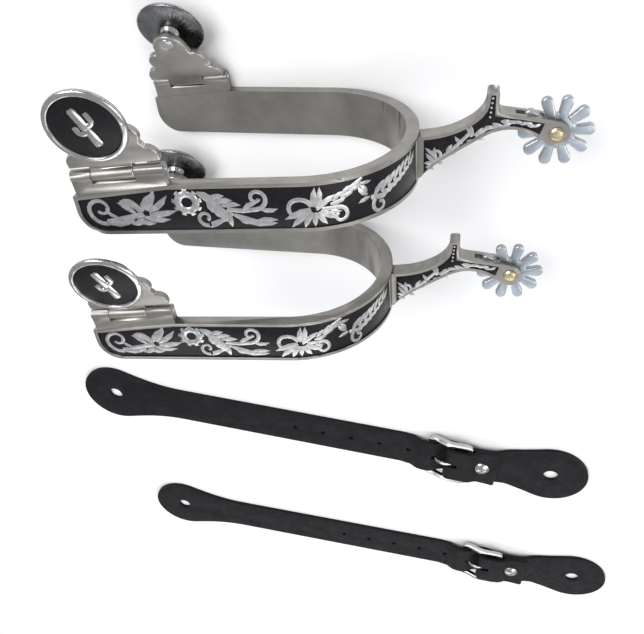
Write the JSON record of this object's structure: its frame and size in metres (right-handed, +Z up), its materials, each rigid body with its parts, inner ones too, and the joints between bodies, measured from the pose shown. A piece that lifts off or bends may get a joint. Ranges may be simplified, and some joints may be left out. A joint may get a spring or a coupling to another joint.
{
  "type": "western spurs with straps",
  "caption": "Western spurs: U-shaped heel band with scroll inlay, shank with free-turning rowel, swinging button hangers, and buckled leather straps with button holes.",
  "frame": {"origin": "middle of the set's footprint on the table", "axes": "+Z up from the table; the spurs lie on their right arms with the rowels towards +X and the boot opening of the bands along Y; +Y away from the straps"},
  "size_m": [0.333, 0.3874, 0.1014],
  "materials": {
    "steel": "satin with polished edges",
    "enamel": "black antiqued ground behind raised steel scrolls",
    "rowel_steel": "satin",
    "brass": "polished",
    "nickel": "polished",
    "leather": "matt black"
  },
  "bodies": {
    "spur_a": {"heel_band_a": "steel", "band_inlay_left_a": "enamel", "band_inlay_right_a": "enamel", "shank_inlay_left_a": "enamel", "shank_inlay_right_a": "enamel", "rowel_pin_a": "brass", "hinge_pin_left_a": "steel", "hinge_pin_right_a": "steel"},
    "rowel_a": {"rowel_a": "rowel_steel"},
    "hanger_left_a": {"hanger_left_a": "steel", "button_post_left_a": "steel", "button_left_a": "nickel", "button_inlay_left_a": "enamel", "button_motif_left_a": "nickel"},
    "hanger_right_a": {"hanger_right_a": "steel", "button_post_right_a": "steel", "button_right_a": "nickel", "button_inlay_right_a": "enamel", "button_motif_right_a": "nickel"},
    "spur_b": {"heel_band_b": "steel", "band_inlay_left_b": "enamel", "band_inlay_right_b": "enamel", "shank_inlay_left_b": "enamel", "shank_inlay_right_b": "enamel", "rowel_pin_b": "brass", "hinge_pin_left_b": "steel", "hinge_pin_right_b": "steel"},
    "rowel_b": {"rowel_b": "rowel_steel"},
    "hanger_left_b": {"hanger_left_b": "steel", "button_post_left_b": "steel", "button_left_b": "nickel", "button_inlay_left_b": "enamel", "button_motif_left_b": "nickel"},
    "hanger_right_b": {"hanger_right_b": "steel", "button_post_right_b": "steel", "button_right_b": "nickel", "button_inlay_right_b": "enamel", "button_motif_right_b": "nickel"},
    "strap_1": {"strap_billet_1": "leather", "strap_chape_1": "leather", "buckle_frame_1": "nickel", "buckle_tongue_1": "nickel", "screw_post_1": "nickel", "screw_cap_1": "nickel"},
    "strap_2": {"strap_billet_2": "leather", "strap_chape_2": "leather", "buckle_frame_2": "nickel", "buckle_tongue_2": "nickel", "screw_post_2": "nickel", "screw_cap_2": "nickel"}
  },
  "joints": [
    {"name": "rowel_spin_a", "type": "hinge", "parent": "spur_a", "child": "rowel_a", "pos_m": [0.09664, 0.154, 0.03549], "axis": [-0.0598, 0, -0.9982], "continuous": true},
    {"name": "hanger_left_a_swing", "type": "hinge", "parent": "spur_a", "child": "hanger_left_a", "pos_m": [-0.04818, 0.1588, 0.08624], "axis": [0.9904, 0.0698, -0.1192], "range_deg": [-87.5, 102.5]},
    {"name": "hanger_right_a_swing", "type": "hinge", "parent": "spur_a", "child": "hanger_right_a", "pos_m": [-0.0532, 0.1588, 0.0024], "axis": [-0.9976, -0.0698, 0], "range_deg": [-45, 145]},
    {"name": "rowel_spin_b", "type": "hinge", "parent": "spur_b", "child": "rowel_b", "pos_m": [0.08564, 0.092, 0.03549], "axis": [-0.0598, 0, -0.9982], "continuous": true},
    {"name": "hanger_left_b_swing", "type": "hinge", "parent": "spur_b", "child": "hanger_left_b", "pos_m": [-0.05918, 0.0968, 0.08624], "axis": [0.9904, 0.0698, -0.1192], "range_deg": [-87.5, 102.5]},
    {"name": "hanger_right_b_swing", "type": "hinge", "parent": "spur_b", "child": "hanger_right_b", "pos_m": [-0.0642, 0.0968, 0.0024], "axis": [-0.9976, -0.0698, 0], "range_deg": [-45, 145]},
    {"name": "spur_b_lift", "type": "slide", "parent": "spur_a", "child": "spur_b", "axis": [0, 0, 1], "range_m": [0, 0.12]},
    {"name": "strap_1_lift", "type": "slide", "parent": "spur_a", "child": "strap_1", "axis": [0, 0, 1], "range_m": [0, 0.12]},
    {"name": "strap_2_lift", "type": "slide", "parent": "spur_a", "child": "strap_2", "axis": [0, 0, 1], "range_m": [0, 0.12]}
  ]
}
